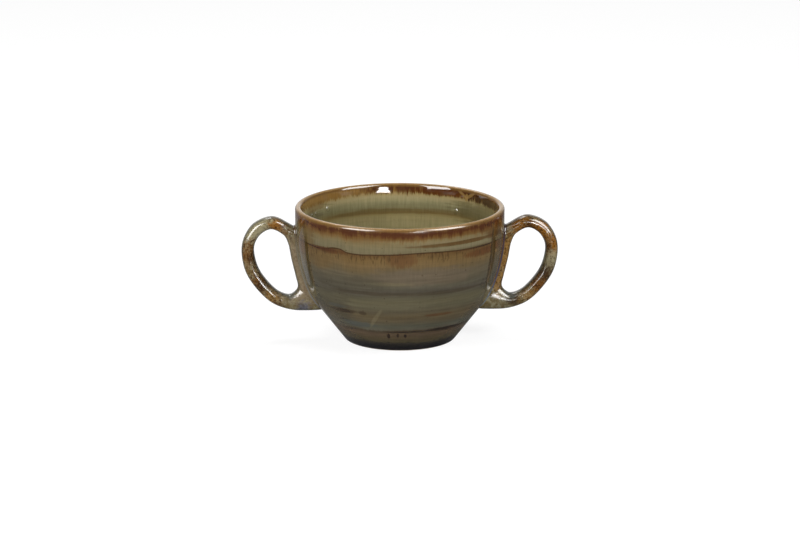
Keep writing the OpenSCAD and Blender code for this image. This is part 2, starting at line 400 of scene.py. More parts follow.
def ring_piece(name, points, side, attributes=()):
    """A closed ring of closed sections as a mesh; side -1 mirrors it to the left, which turns its faces."""
    quads = lattice(*points.shape[:2], True)[:, ::-side]
    return mesh_piece(name, points.reshape(-1, 3) * [side, 1, 1], [quads], attributes)


def make_handle(name, side):
    """The cast ring: the strap's skin, its back let into the wall, with rim_share = |cos v|."""
    u = np.linspace(0, STATIONS, STATIONS * STATION_STEPS, endpoint=False)
    v = np.linspace(0, 2 * math.pi, STRAP_SIDES, endpoint=False)
    u, v = np.meshgrid(u, v, indexing="ij")
    points = against_wall(strap_skin(u, v), -LET_IN)
    return ring_piece(name, points, side, [("rim_share", np.abs(np.cos(v)))])


def off_wall(p):
    """Distance of points from the wall's face, measured square to the wall."""
    lean = wall_lean(p[..., 2])
    return (np.hypot(p[..., 0], p[..., 1]) - wall_radius(p[..., 2])) / np.sqrt(1 + lean ** 2)


def joint_ray(a, s):
    """Station and section angle at a share s of the way from the middle of the joint outwards."""
    middle = len(FREE_SHARES) - 1 + JOINT_AFTER_CORNER
    return middle + s * JOINT_STATIONS * np.cos(a), s * math.radians(JOINT_DEGREES) * np.sin(a)


def halved(a, below):
    """The share at which below(u, v) turns false along each ray, by halving."""
    low, high = np.zeros_like(a), np.ones_like(a)
    for _ in range(HALVINGS):
        middle = (low + high) / 2
        under = below(*joint_ray(a, middle))
        low, high = np.where(under, middle, low), np.where(under, high, middle)
    return (low + high) / 2


def ball_centre(u, v):
    """The middle of a ball that touches the strap at (u, v): skin + radius x outward direction."""
    return strap_skin(u, v) + SEAM_R * skin_outward(u, v)


def make_seam(name, side):
    """The hollow that a ball leaves as it rolls round the joint, touching strap and wall.

    Each section runs from the strap's contact to the wall's along the ball, its ends let in by
    |2t - 1|^8, and closes inside the joint.
    """
    a = np.linspace(0, 2 * math.pi, SEAM_PLACES, endpoint=False)
    touch = joint_ray(a, halved(a, lambda u, v: off_wall(ball_centre(u, v)) < SEAM_R))
    root = joint_ray(a, halved(a, lambda u, v: off_wall(strap_skin(u, v)) < 0))
    centre = ball_centre(*touch)
    lean = wall_lean(centre[:, 2])
    far = off_wall(centre) / np.sqrt(1 + lean ** 2)
    r = np.hypot(centre[:, 0], centre[:, 1])
    to_wall = np.stack([-far * centre[:, 0] / r, -far * centre[:, 1] / r, far * lean], 1)
    to_strap = strap_skin(*touch) - centre
    t = np.linspace(0, 1, 13)[None, :, None]
    way = (1 - t) * to_strap[:, None] + t * to_wall[:, None]
    sunk = SEAM_R + SEAM_LET_IN * np.abs(2 * t - 1) ** 8
    hollow = centre[:, None] + sunk * way / np.linalg.norm(way, axis=2, keepdims=True)
    inner = against_wall(strap_skin(*root), -LET_IN)[:, None]
    return ring_piece(name, np.concatenate([inner, hollow], 1), side)


def tint(red, green, blue):
    """A colour as a screen shows it, 0 to 255, as the linear light that a shader takes.

    Each part c, from 0 to 1, becomes ((c + 0.055) / 1.055) ^ 2.4.
    """
    return tuple(((c / 255 + 0.055) / 1.055) ** 2.4 for c in (red, green, blue)) + (1.0,)


def grey(light):
    """A grey as linear light, 0 to 1."""
    return (light, light, light, 1)


def operator(operation, turned=False):
    """A method that adds a Math node, with its two inputs turned round if asked."""
    def method(self, other):
        return self.wiring.math(operation, *((other, self) if turned else (self, other)))
    return method


class Wire:
    """One output of a shader node. Sums, products and the like with wires or numbers add Math nodes."""

    def __init__(self, wiring, socket):
        self.wiring = wiring
        self.socket = socket

    def __abs__(self):
        return self.wiring.math("ABSOLUTE", self)

    __add__ = __radd__ = operator("ADD")
    __mul__ = __rmul__ = operator("MULTIPLY")
    __sub__, __rsub__ = operator("SUBTRACT"), operator("SUBTRACT", True)
    __truediv__, __rtruediv__ = operator("DIVIDE"), operator("DIVIDE", True)


class Wires:
    """A node's outputs as wires, by name or number."""

    def __init__(self, wiring, node):
        self.wiring = wiring
        self.node = node

    def __getitem__(self, key):
        return Wire(self.wiring, self.node.outputs[key])


class Wiring:
    """Adds nodes to a tree. A wire given to an input is linked to it, and any other value is set on it."""

    def __init__(self, tree):
        self.tree = tree

    def node(self, kind, inputs=(), **settings):
        """A new node's outputs. The settings come first, because some of them change its inputs."""
        added = self.tree.nodes.new(kind)
        for label, value in settings.items():
            setattr(added, label, value)
        for key, value in dict(inputs).items():
            if isinstance(value, Wire):
                self.tree.links.new(value.socket, added.inputs[key])
            else:
                added.inputs[key].default_value = value
        return Wires(self, added)

    def group(self, tree, *inputs):
        """A node group's outputs, its inputs in their own order."""
        return self.node("ShaderNodeGroup", dict(enumerate(inputs)), node_tree=tree)

    def math(self, operation, a, b=0, c=0):
        return self.node("ShaderNodeMath", {0: a, 1: b, 2: c}, operation=operation)[0]

    def vector(self, operation, a, b=(0, 0, 0)):
        return self.node("ShaderNodeVectorMath", {0: a, 1: b}, operation=operation)[0]

    def scaled(self, a, factor):
        return self.node("ShaderNodeVectorMath", {0: a, "Scale": factor}, operation="SCALE")[0]

    def length(self, a):
        return self.node("ShaderNodeVectorMath", {0: a}, operation="LENGTH")["Value"]

    def parts(self, a):
        outputs = self.node("ShaderNodeSeparateXYZ", {0: a})
        return [outputs[axis] for axis in range(3)]

    def combined(self, x, y, z):
        return self.node("ShaderNodeCombineXYZ", {0: x, 1: y, 2: z})[0]

    def step(self, value, start, end):
        """0 up to start and 1 from end on, smooth between them. Either may be the larger."""
        return self.node("ShaderNodeMapRange", {"Value": value, "From Min": start, "From Max": end},
                         interpolation_type="SMOOTHSTEP")[0]

    def noise(self, place, scale, detail=2, roughness=0.5, distortion=0):
        return self.node("ShaderNodeTexNoise", {
            "Vector": place, "Scale": scale, "Detail": detail, "Roughness": roughness,
            "Distortion": distortion})[0]

    def mix(self, factor, below, above, **settings):
        return self.node("ShaderNodeMix", {0: factor, 6: below, 7: above}, data_type="RGBA", **settings)[2]

    def mix_shader(self, factor, below, above):
        return self.node("ShaderNodeMixShader", {0: factor, 1: below, 2: above})[0]

    def ramp(self, value, stops):
        """A colour ramp whose stops are (position, red, green, blue), as a screen shows them."""
        ramp = self.node("ShaderNodeValToRGB", {0: value})
        elements = ramp.node.color_ramp.elements
        while len(elements) < len(stops):
            elements.new(0.5)
        for element, (position, *shown) in zip(elements, stops):
            element.position = position
            element.color = tint(*shown)
        return ramp[0]

    def curve(self, value, points):
        """A smooth curve through (x, y) points, all from 0 to 1."""
        curve = self.node("ShaderNodeFloatCurve", {"Value": value})
        placed = curve.node.mapping.curves[0].points
        while len(placed) < len(points):
            placed.new(0.5, 0.5)
        for point, place in zip(placed, points):
            point.location = place
        curve.node.mapping.update()
        return curve[0]


# Sockets of the groups that hold vectors
VECTORS = ("Position", "Rolled")


def shader_group(name, inputs, outputs, wire):
    """A node group, with its sockets named in two lists; wire(w, *inputs) returns the outputs' wires."""
    tree = bpy.data.node_groups.new(name, "ShaderNodeTree")
    inputs, outputs = inputs.split(", "), outputs.split(", ")
    for labels, way in ((inputs, "INPUT"), (outputs, "OUTPUT")):
        for label in labels:
            kind = "NodeSocketVector" if label in VECTORS else "NodeSocketFloat"
            tree.interface.new_socket(label, in_out=way, socket_type=kind)
    w = Wiring(tree)
    entry = w.node("NodeGroupInput")
    w.node("NodeGroupOutput", dict(enumerate(wire(w, *[entry[label] for label in inputs]))))
    return tree


def wire_round_place(w, position):
    """Angle from the front in degrees, height in mm, and the place rolled onto a rim-wide cylinder."""
    x, y, height = w.parts(w.scaled(position, 1 / MM))
    angle = w.math("DEGREES", w.math("ARCTAN2", x, y * -1))
    flat = w.vector("NORMALIZE", w.combined(x, y, 0))
    rolled_x, rolled_y, _ = w.parts(w.scaled(flat, RIM_R))
    return angle, height, w.combined(rolled_x, rolled_y, height)


ROUND_PLACE = shader_group("round_place", "Position", "Angle, Height, Rolled", wire_round_place)


def wire_runs(w, rolled, across, along, seed):
    """Noise stretched by one length across and another along the height, as runs and turning rings are."""
    x, y, height = w.parts(rolled)
    stretched = w.combined(x / across, y / across, height / along)
    return [w.noise(w.vector("ADD", stretched, w.combined(seed, seed, seed)), 1, 3, 0.55)]


RUNS = shader_group("glaze_runs", "Rolled, Across, Along, Seed", "Value", wire_runs)

# A place's reach at which its mask starts to fade and at which it ends
PATCH_FULL, PATCH_END = 0.25, 1.25


def wire_patch(w, angle, height, noise, middle_angle, middle_height, half_angle, half_height, lean, rags):
    """A ragged oval, 1 inside and 0 outside, whose middle angle leans with height.

    Its reach is (turn / half angle)^2 + (rise / half height)^2 + rags (noise - 1/2).
    """
    rise = height - middle_height
    across = w.math("WRAP", angle - (middle_angle + rise * lean), 180, -180) / half_angle
    along = rise / half_height
    reach = across * across + along * along + (noise - 0.5) * rags
    return [w.step(reach, PATCH_END, PATCH_FULL)]


PATCH = shader_group(
    "glaze_patch", "Angle, Height, Noise, Middle Angle, Middle Height, Half Angle, Half Height, Lean, Rags",
    "Mask", wire_patch)

FLECK_EDGE = 0.1


def wire_fleck(w, position, scale, size, empty_share):
    """Small round flecks with soft edges, in some of the cells only: step(share size - distance)."""
    cells = w.node("ShaderNodeTexVoronoi", {"Vector": position, "Scale": scale})
    share, chance, _ = w.parts(cells["Color"])
    chosen = w.math("GREATER_THAN", chance, empty_share)
    return [w.step(share * size - cells["Distance"], 0, FLECK_EDGE) * chosen]


FLECKS = shader_group("iron_flecks", "Position, Scale, Size, Empty Share", "Mask", wire_fleck)

# Changes of roughness along a metre
DULL_SCALE = 900


def wire_gloss(w, position, peel_size, peel_height, wave_size, wave_height, roughness, spread):
    """The melted surface: orange peel and slow waves as height in metres, and a roughness that varies."""
    fine = w.noise(position, 1 / peel_size, 1)
    slow = w.noise(position, 1 / wave_size, 1)
    dull = w.noise(position, DULL_SCALE, 2)
    return fine * peel_height + slow * wave_height, roughness + dull * spread


GLOSS = shader_group(
    "melted_gloss", "Position, Peel Size, Peel Height, Wave Size, Wave Height, Roughness, Spread",
    "Height, Roughness", wire_gloss)

GLAZE_IOR = 1.6


def melted(w, place, peel, wave, roughness):
    """Relief and roughness of melted glaze: peel and wave as (size, height) in mm, and (least, spread)."""
    gloss = w.group(GLOSS, place, *(size * MM for size in peel + wave), *roughness)
    return gloss["Height"], gloss["Roughness"]


def emptied(block):
    """The wiring of a material or a world whose nodes are cleared away."""
    block.use_nodes = True
    block.node_tree.nodes.clear()
    return Wiring(block.node_tree)


def new_material(name):
    """A material, its wiring, and the object's own coordinates."""
    material = bpy.data.materials.new(name)
    w = emptied(material)
    return material, w, w.node("ShaderNodeTexCoord")["Object"]


def add_surface(w, colour, roughness, height):
    """The Principled shader with its relief, whose height is in metres, and the material's output."""
    bump = w.node("ShaderNodeBump", {"Height": height, "Strength": 1, "Distance": 1})
    shader = w.node("ShaderNodeBsdfPrincipled", {
        "Base Color": colour, "Roughness": roughness, "IOR": GLAZE_IOR, "Normal": bump[0]})
    w.node("ShaderNodeOutputMaterial", {"Surface": shader[0]})


# Colours of the glaze where it lies thick, breaks thin or runs
LIP_TAN = tint(144, 114, 70)
LIP_GOLD = tint(106, 76, 36)
LIGHT_GOLD = tint(140, 106, 54)
NOTCH_TAN = tint(150, 120, 70)
RIM_BROWN = tint(72, 39, 18)
DEEP_BROWN = tint(40, 26, 14)
LINE_BROWN = tint(50, 36, 22)
RUST = tint(84, 52, 28)
CELADON = tint(118, 108, 78)
PALE_CELADON = tint(114, 106, 80)
OLIVE_GOLD = tint(94, 75, 46)
MAUVE = tint(95, 84, 68)
GREY_OLIVE = tint(70, 65, 52)
BLUE_GREY = tint(72, 76, 72)
# Plum glaze made nearly black with painted shade where the foot meets the table
FOOT_PLUM_IN_SHADE = tint(16, 13, 16)

# Height of the dark line that parts the upper and the lower glaze, by angle
LINE_FLOOR, LINE_SPAN = 50, 16
LINE_POINTS = [(-180, 57.5), (-120, 56.5), (-80, 57), (-50, 56.3), (-38, 58), (-32, 56.6), (-25, 56.2),
               (-18, 56.5), (-5, 57), (10, 57.7), (20, 57.6), (40, 57.2), (60, 57), (90, 56.5),
               (140, 58), (180, 57.5)]
# Colours below the line and above it, by share of the height there
# Its lowest stops, nearly black, are painted shade where the wall comes down to the table
LOWER_STOPS = [(0, 8, 7, 9), (0.035, 13, 11, 14), (0.07, 33, 29, 25), (0.105, 70, 62, 42),
               (0.14, 80, 68, 47), (0.184, 88, 72, 54), (0.219, 70, 58, 42), (0.246, 88, 84, 69),
               (0.28, 81, 80, 66), (0.333, 88, 78, 58), (0.386, 90, 78, 55), (0.439, 84, 76, 58),
               (0.491, 87, 82, 63), (0.544, 88, 82, 62), (0.596, 78, 73, 58), (0.632, 74, 69, 58),
               (0.684, 82, 77, 63), (0.737, 83, 76, 60), (0.789, 90, 81, 63), (0.842, 94, 80, 55),
               (0.895, 103, 84, 54), (0.947, 101, 80, 48), (1, 90, 66, 36)]
UPPER_STOPS = [(0, 101, 92, 67), (0.154, 105, 97, 72), (0.27, 109, 99, 72), (0.385, 112, 99, 69),
               (0.5, 110, 91, 59), (0.615, 100, 77, 44), (0.69, 90, 60, 34)]
# Colours of the inside by share of the whole height
INSIDE_STOPS = [(0.1, 96, 92, 60), (0.35, 112, 106, 70), (0.6, 128, 118, 80), (0.7, 142, 132, 94),
                (0.755, 140, 128, 88), (0.785, 120, 102, 62), (0.81, 118, 109, 76), (0.84, 128, 122, 90),
                (0.87, 142, 135, 100), (0.905, 160, 148, 108), (0.93, 156, 134, 88), (0.95, 134, 98, 44)]

# Level places outside: colour, angle, height, half angle, half height, lean, strength
OUTSIDE_BELTS = [
    ("gold flank", OLIVE_GOLD, -52, 51, 12, 6, 0, 0.6),
    ("mauve belt", MAUVE, 14, 44.5, 34, 5.5, 0, 0.8),
    ("green belt, middle", CELADON, -8, 41, 16, 1.2, 0, 0.3),
    ("dark flank", GREY_OLIVE, -50, 27, 18, 12, 0, 0.6),
    ("dark patch", LINE_BROWN, -42, 23.6, 12, 1.6, 0, 0.6),
    ("grey belt", GREY_OLIVE, -35, 40, 30, 5, 0, 0.5),
    ("thin dark ring", LINE_BROWN, 5, 35.5, 60, 1.1, 0, 0.38),
    ("pale belt under the brown", CELADON, 20, 63.3, 40, 1.4, 0, 0.6),
    ("brown ring", tint(84, 62, 34), 38, 60.9, 36, 1.2, 0, 0.95),
    ("pale ring", PALE_CELADON, 42, 59.2, 30, 1, 0, 0.8),
    ("brown shade, far right", tint(80, 54, 26), 64, 63, 14, 6, 0, 0.75),
    ("brown shade, far left", tint(92, 70, 36), -66, 61, 12, 7, 0, 0.6),
    ("blue cloud", BLUE_GREY, -45, 25.8, 8, 1.2, 0, 0.4),
    ("rust spot", RUST, 24, 22.8, 10, 0.9, 0, 0.6),
    ("blue cloud, low left", BLUE_GREY, -33, 16.2, 16, 1.8, 0, 0.6),
    ("plum flank, low left", MAUVE, -56, 15, 9, 6, 0, 0.4),
    ("violet by the right handle", tint(66, 52, 52), 79, 52, 7, 11, 0, 0.6),
    ("blue by the right handle", tint(62, 68, 84), 79, 36, 6, 12, 0, 0.6),
    ("pale blue under it", tint(84, 98, 108), 76, 24, 5, 6, 0, 0.6),
    # Painted reflection: a grey strip where the wall beside the left handle mirrors the pale studio at a
    # grazing angle
    ("painted grey reflection by the left handle", tint(104, 100, 84), -79, 46, 6, 20, 0, 0.6),
    ("pale cloud, back", PALE_CELADON, -150, 60, 26, 2.4, 0, 0.7),
    ("dark ring, back", LINE_BROWN, 180, 30, 55, 0.6, 0, 0.5),
    ("mauve cloud, back", MAUVE, -140, 42, 30, 5, 0, 0.7)]
# Rust that hangs in streaks from the line
OUTSIDE_BLOOMS = [
    ("rust under the line", RUST, -43, 56, 11, 1.6, 0, 0.8),
    ("rust under the line, middle", RUST, -1, 53.6, 9, 4, 0, 0.55),
    ("rust under the line", RUST, 54, 53.9, 20, 2.2, 0, 0.8),
    ("rust, far left", RUST, -70, 54, 7, 6, 0, 0.5),
    ("rust under the line, back", RUST, 150, 51, 22, 5, 0, 0.8),
    ("dark shoulder of the lip", DEEP_BROWN, 67, 66, 9, 3, 0, 0.8),
    ("dark spot of the lip", DEEP_BROWN, -67, 65, 3.5, 1.6, 0, 0.7)]
# Small marks with plain edges
OUTSIDE_MARKS = [
    # The first two are painted reflections: dark strips where the wall mirrors each handle's outer side
    ("painted reflection of the right handle", tint(58, 44, 20), 60.5, 48, 3.4, 17, 0, 0.8),
    ("painted reflection of the left handle", tint(62, 52, 28), -64.5, 47, 3.4, 16, 0, 0.7),
    ("pale run", PALE_CELADON, -18.5, 20.5, 1.8, 6.4, 0.9, 0.4),
    ("thick line", tint(70, 42, 24), -50, 56.3, 12, 1.1, 0, 0.75),
    ("dark spot", DEEP_BROWN, -40, 23.6, 5, 1.3, 0, 0.45),
    ("dark spot, inner left", DEEP_BROWN, -26, 23.5, 3, 1.3, 0, 0.5),
    ("thick line", tint(62, 42, 26), 46, 57, 18, 0.75, 0, 0.65),
    ("dark edge above the foot", LINE_BROWN, 8, 12.5, 26, 0.6, 0.03, 0.85),
    ("dark edge above the foot", DEEP_BROWN, 38, 12.8, 20, 1.05, 0, 0.95),
    ("run over the foot", DEEP_BROWN, -11, 9.7, 1.5, 1.9, 0, 1),
    ("run over the foot, middle", DEEP_BROWN, -3.4, 10.2, 1.1, 1.4, 0, 0.9),
    ("run over the foot", DEEP_BROWN, 2.6, 9.9, 1.3, 1.3, 0, 0.9)]
# The same inside: level places, those of the belt under the lip, and small marks
INSIDE_BELTS = [
    # Painted shade: the inside's right side darkened where less light reaches it
    ("shade", tint(84, 74, 44), 112, 58, 34, 9, 0, 0.65),
    ("brown ring", tint(96, 80, 46), 190, 55.4, 34, 1.7, 0, 0.6),
    ("brown ring", tint(92, 74, 42), 150, 56.2, 14, 1.7, 0, 0.42),
    ("green pool", GREY_OLIVE, 247, 59, 14, 4, 0, 0.5)]
INSIDE_BLOOMS = [
    ("brown", tint(82, 42, 8), 150, 66.6, 24, 2.2, 0, 0.9),
    ("deep brown", tint(52, 26, 6), 115, 66.6, 22, 2.8, 0, 0.95),
    ("gold runs", LIGHT_GOLD, 232, 67.6, 36, 3.4, 0, 0.9),
    ("gold runs, far left", LIP_GOLD, 240, 63.5, 14, 2.4, 0, 0.5)]
INSIDE_MARKS = [
    ("left arm of the notch", NOTCH_TAN, 130.6, 67.3, 1.9, 2.8, -1.5, 0.65),
    ("right arm of the notch", NOTCH_TAN, 137.6, 67.3, 1.8, 2.6, 1.7, 0.65),
    ("stem of the notch", NOTCH_TAN, 134, 65.8, 1.5, 2.2, 0, 0.7),
    # The thin arcs are painted reflections: pale curves where the inner wall mirrors the lit lip opposite
    ("painted reflected arc", PALE_CELADON, 125, 62.1, 1.2, 1.5, -2.6, 0.7),
    ("painted reflected arc, low right", PALE_CELADON, 134, 60.1, 2.2, 0.9, -7.9, 0.5),
    ("painted reflected arc", PALE_CELADON, 228, 63.1, 1.6, 1.2, 7, 0.6)]
# Beads and thick runs of glaze inside: angle, height, half angle, half height, lean, rise in mm
GLAZE_BEADS = [(227, 60.3, 1.6, 1.5, 0, 0.34), (239, 60, 1.1, 1, 0, 0.36), (244, 60.2, 1, 0.9, 0, 0.34),
               (142, 57.3, 1.8, 1.5, 0, 0.26), (188.4, 61.2, 9, 6, 0, 0.075)]

# Noises over the wall: length across and along the height in mm, and seed
WALL_NOISES = {"fine": (0.9, 9, 3), "broad": (2.6, 14, 11), "strokes": (0.6, 4, 41),
               "clouds": (7, 4, 23), "rings": (22, 1.3, 7), "belts": (40, 5, 31)}
# How far level bands sway with the belts and the fine runs, in mm
BELT_SWAY, RUN_SWAY = 2.4, 1.4
# Raggedness of the places' edges
BELT_RAGS, BLOOM_RAGS, MARK_RAGS = 3, 4, 0.8
# The dark line: mm over it in which the upper glaze takes over, half widths, and shares of the colour
LINE_MEETS = (-0.15, 0.35)
LINE_LOW, LINE_CORE, LINE_THIN, LINE_SWELL = 0.2, 0.1, 0.15, 0.7
LINE_STRENGTH, HANG_STRENGTH = 0.85, 0.6
# Runs that hang from it: shortest, how much longer, and mm in which they fade
HANG_SHORT, HANG_MORE, HANG_FADE = 2, 5, 3
# The belt under the lip: low edges of its brown and gold, how much higher they lie inside, and fray
BROWN_LOW, BROWN_LIFT, BROWN_FADE = 66, 0.4, (-2.1, 1.2)
GOLD_LOW, GOLD_LIFT, GOLD_FADE, GOLD_STRENGTH = 63.8, 1.2, (-1.2, 1.2), 0.55
BROAD_FRAY, FINE_FRAY = 6, 5
DARK_ROW_Z = 67
# The lip: mm off its crown where gold and tan start and are full, and where the gloss is duller
GOLD_OFF, TAN_OFF, LIP_WANDER = (3, 1.9), (1.8, 0.7), 0.8
DULL_IN, DULL_OUT, LIP_DULL = (1.5, 0.9), (-4, -3), 0.13
# Heights between which fine runs grow stronger and rings weaker
UPPER_WALL = (43, 50)
# Heights inside between which the noises grow: on the floor they would meet in a star
STILL_FLOOR = (FLOOR_Z + 4, FLOOR_Z + 20)
RING_RELIEF = 0.008 * MM
# Iron flecks: cells along a mm, size of the largest in cells, and share of cells without one
FLECK_SIZES = (0.7, 0.4, 0.86)


def paint_places(w, wall, colour, places, noise, rags, side=None):
    """Lays each listed place over a colour, on one side of the wall only if a side mask is given."""
    for label, paint, *numbers, strength in places:
        mask = w.group(PATCH, wall.angle, wall.height, noise, *numbers, rags)["Mask"] * strength
        if side is not None:
            mask = mask * side
        colour = w.mix(mask, colour, paint, label=label)
    return colour


def read_wall(w, place):
    """Where a point of the wall lies and what the noises are there. The side is 0 outside and 1 inside."""
    rounded = w.group(ROUND_PLACE, place)
    wall = SimpleNamespace(angle=rounded["Angle"], height=rounded["Height"], rolled=rounded["Rolled"])
    wall.from_lip = w.node("ShaderNodeAttribute", attribute_name="from_lip")["Fac"]
    wall.side = w.step(wall.from_lip, -0.4, 0.4)
    wall.outer = 1 - wall.side
    for label, sizes in WALL_NOISES.items():
        setattr(wall, label, w.group(RUNS, wall.rolled, *sizes)["Value"])
    wall.hanging = wall.strokes * 0.6 + wall.broad * 0.4
    wall.level = wall.rings * 0.5 + wall.clouds * 0.5
    wall.swayed = wall.height + (wall.fine - 0.5) * RUN_SWAY + (wall.belts - 0.5) * BELT_SWAY
    wall.upright = w.math("MAXIMUM", wall.outer, w.step(wall.height, *STILL_FLOOR))
    return wall


def outside_colour(w, wall):
    """Bands by height that a wandering dark line parts, the runs that hang from it, and places over them."""
    points = [((angle + 180) / 360, (z - LINE_FLOOR) / LINE_SPAN) for angle, z in LINE_POINTS]
    line_z = w.curve(wall.angle / 360 + 0.5, points) * LINE_SPAN + LINE_FLOOR
    lower = w.ramp(wall.swayed / line_z, LOWER_STOPS)
    upper = w.ramp((wall.swayed - line_z) / (BOWL_H - line_z), UPPER_STOPS)
    over = wall.height - line_z
    colour = w.mix(w.step(over, *LINE_MEETS), lower, upper)
    reach = w.step(wall.broad, 0.35, 0.65) * HANG_MORE + HANG_SHORT
    hang = w.step(over + reach, 0, HANG_FADE) * w.step(over, 0.1, -0.3) * w.step(wall.strokes, 0.5, 0.6)
    line = w.step(abs(over + LINE_LOW), wall.clouds * LINE_SWELL + LINE_THIN, LINE_CORE)
    colour = paint_places(w, wall, colour, OUTSIDE_BELTS, wall.level, BELT_RAGS)
    colour = paint_places(w, wall, colour, OUTSIDE_BLOOMS, wall.hanging, BLOOM_RAGS)
    colour = w.mix(hang * HANG_STRENGTH, colour, LINE_BROWN)
    colour = w.mix(line * LINE_STRENGTH, colour, LINE_BROWN)
    return paint_places(w, wall, colour, OUTSIDE_MARKS, wall.clouds, MARK_RAGS)


def lip_belt(w, wall, colour):
    """The brown belt under the lip, over a gold one, both frayed below by broad and fine runs."""
    fray = (wall.broad - 0.5) * BROAD_FRAY + (wall.strokes - 0.5) * FINE_FRAY
    gold = w.step(wall.height - (wall.side * GOLD_LIFT + GOLD_LOW + fray), *GOLD_FADE)
    colour = w.mix(gold * GOLD_STRENGTH, colour, LIP_GOLD)
    brown = w.mix(w.step(wall.clouds, 0.42, 0.68), RIM_BROWN, RUST)
    brown = w.mix(w.step(wall.broad, 0.5, 0.72), brown, LIP_GOLD)
    dark_row = wall.outer * w.step(abs(wall.height - DARK_ROW_Z), 1, 0.2)
    brown = w.mix(dark_row, brown, RIM_BROWN)
    belt = w.step(wall.height - (wall.side * BROWN_LIFT + BROWN_LOW + fray), *BROWN_FADE)
    return w.mix(belt, colour, brown)


def broken_lip(w, wall, colour):
    """Gold and then tan towards the crown of the lip, where the glaze breaks thin."""
    off = abs(wall.from_lip + (wall.clouds - 0.5) * LIP_WANDER)
    colour = w.mix(w.step(off, *GOLD_OFF), colour, LIP_GOLD)
    return w.mix(w.step(off, *TAN_OFF), colour, LIP_TAN)


def fine_shades(w, wall, colour):
    """Fine upright and level variation, colour x (1 + runs + rings), and iron flecks over it."""
    upper_wall = w.step(wall.height, *UPPER_WALL)
    runs = (wall.fine - 0.5) * (upper_wall * 0.3 + 0.2)
    rings = (wall.rings - 0.5) * (upper_wall * -0.4 + 0.7)
    colour = w.scaled(colour, (runs + rings) * wall.upright + 1)
    flecks = w.group(FLECKS, wall.rolled, *FLECK_SIZES)["Mask"]
    return w.mix(flecks * (wall.outer * 0.3 + 0.1), colour, DEEP_BROWN)


def glaze_relief(w, wall):
    """Beads and thick runs of glaze inside, in metres: the sum of rise x mask."""
    total = 0
    for *numbers, rise in GLAZE_BEADS:
        mask = w.group(PATCH, wall.angle, wall.height, 0.5, *numbers, 0)["Mask"]
        total = total + mask * (rise * MM)
    return total * wall.side


def glaze_bowl():
    """The bowl's glaze: outside and inside, the belt and the lip that both share, and the glossy relief."""
    material, w, place = new_material("bowl_glaze")
    wall = read_wall(w, place)
    inside = w.ramp(wall.swayed / BOWL_H, INSIDE_STOPS)
    inside = paint_places(w, wall, inside, INSIDE_BELTS, wall.level, BELT_RAGS)
    colour = w.mix(wall.side, outside_colour(w, wall), inside)
    colour = lip_belt(w, wall, colour)
    colour = paint_places(w, wall, colour, INSIDE_BLOOMS, wall.hanging, BLOOM_RAGS, wall.side)
    colour = paint_places(w, wall, colour, INSIDE_MARKS, wall.clouds, MARK_RAGS, wall.side)
    colour = fine_shades(w, wall, broken_lip(w, wall, colour))
    height, roughness = melted(w, place, (1.6, 0.003), (9, 0.03), (0.03, 0.05))
    height = height + wall.rings * wall.upright * RING_RELIEF + glaze_relief(w, wall)
    crown = w.step(wall.from_lip, *DULL_IN) * w.step(wall.from_lip, *DULL_OUT)
    add_surface(w, colour, roughness + crown * LIP_DULL, height)
    return material


# Colours of the glaze on the handles
SIENNA = tint(98, 61, 16)
ORANGE = tint(124, 78, 14)
GOLD = tint(134, 98, 46)
UMBER = tint(50, 28, 5)
CREAM = tint(138, 130, 102)
TAN = tint(124, 108, 86)
OLIVE = tint(104, 90, 58)
# Painted shade: the dark olive laid along the strap's edges, where the rounded strap turns from the light
RIM_SHADE_OLIVE = tint(58, 58, 44)
SLATE = tint(84, 86, 100)
TEAL = tint(78, 90, 90)
# Places on the handles: colour, x (left negative), z, radius in mm, strength
HANDLE_PLACES = [
    # The cream shoulder is cream glaze lightened further with a painted sheen
    ("cream shoulder", CREAM, -74, 57, 8, 0.9),
    ("gold top", ORANGE, -63.5, 60.5, 3.6, 0.95),
    ("rust neck", SIENNA, -58.5, 57, 2.6, 0.6),
    ("rust side", SIENNA, -78, 46, 5.6, 0.9),
    ("dark side", UMBER, -76, 44, 2.6, 0.7),
    ("rust low side", SIENNA, -73.5, 30, 5.2, 0.95),
    ("dark low side", UMBER, -72, 27.6, 3.4, 0.8),
    ("gold bottom", GOLD, -66, 21.6, 4.6, 0.7),
    ("dark bottom", UMBER, -63, 18.4, 2.6, 0.6),
    ("tan leg", TAN, -54, 42, 12, 0.85),
    ("tan low leg", TAN, -51, 26, 7, 0.8),
    ("blue foot", SLATE, -50.5, 16.6, 3.4, 0.8),
    ("teal corner", TEAL, -57, 24.6, 2.6, 0.6),
    ("rust top", ORANGE, 63, 60, 6.5, 1),
    ("rust shoulder", ORANGE, 73, 58, 5.5, 1),
    ("dark top", UMBER, 66, 60.6, 3, 0.6),
    ("orange side", ORANGE, 78.6, 50, 5.5, 0.95),
    ("dark inner side", UMBER, 75, 49, 3, 0.7),
    ("cream side", CREAM, 79.5, 41.5, 4.4, 0.7),
    ("dark low side", UMBER, 75, 33, 5.4, 0.9),
    ("rust low side", SIENNA, 71.5, 27, 4.6, 0.95),
    ("dark bottom", UMBER, 58.5, 20.4, 3.2, 0.8),
    ("gold bottom", GOLD, 66, 22.6, 3.6, 0.7),
    ("gold leg", GOLD, 55, 45, 9, 0.95),
    ("gold low leg", GOLD, 52.5, 31, 6, 0.9),
    ("teal corner", TEAL, 57, 24.8, 3, 0.8)]
RUSTY = (SIENNA, GOLD, ORANGE)
# How far the mottling moves a place's edge, in shares of its radius, and the shares where it fades
HANDLE_RAGS, HANDLE_FADE = 4, (1.65, 0.45)
# Grains of the noise that turn to specks and to cream breaks, and where the painted shade along the strap's
# edges starts and ends
SPECK_GRAINS, BREAK_GRAINS, RIM_SHADE_FADE, RIM_SHADE_STRENGTH = (0.5, 0.6), (0.45, 0.37), (0.8, 1.1), 0.6
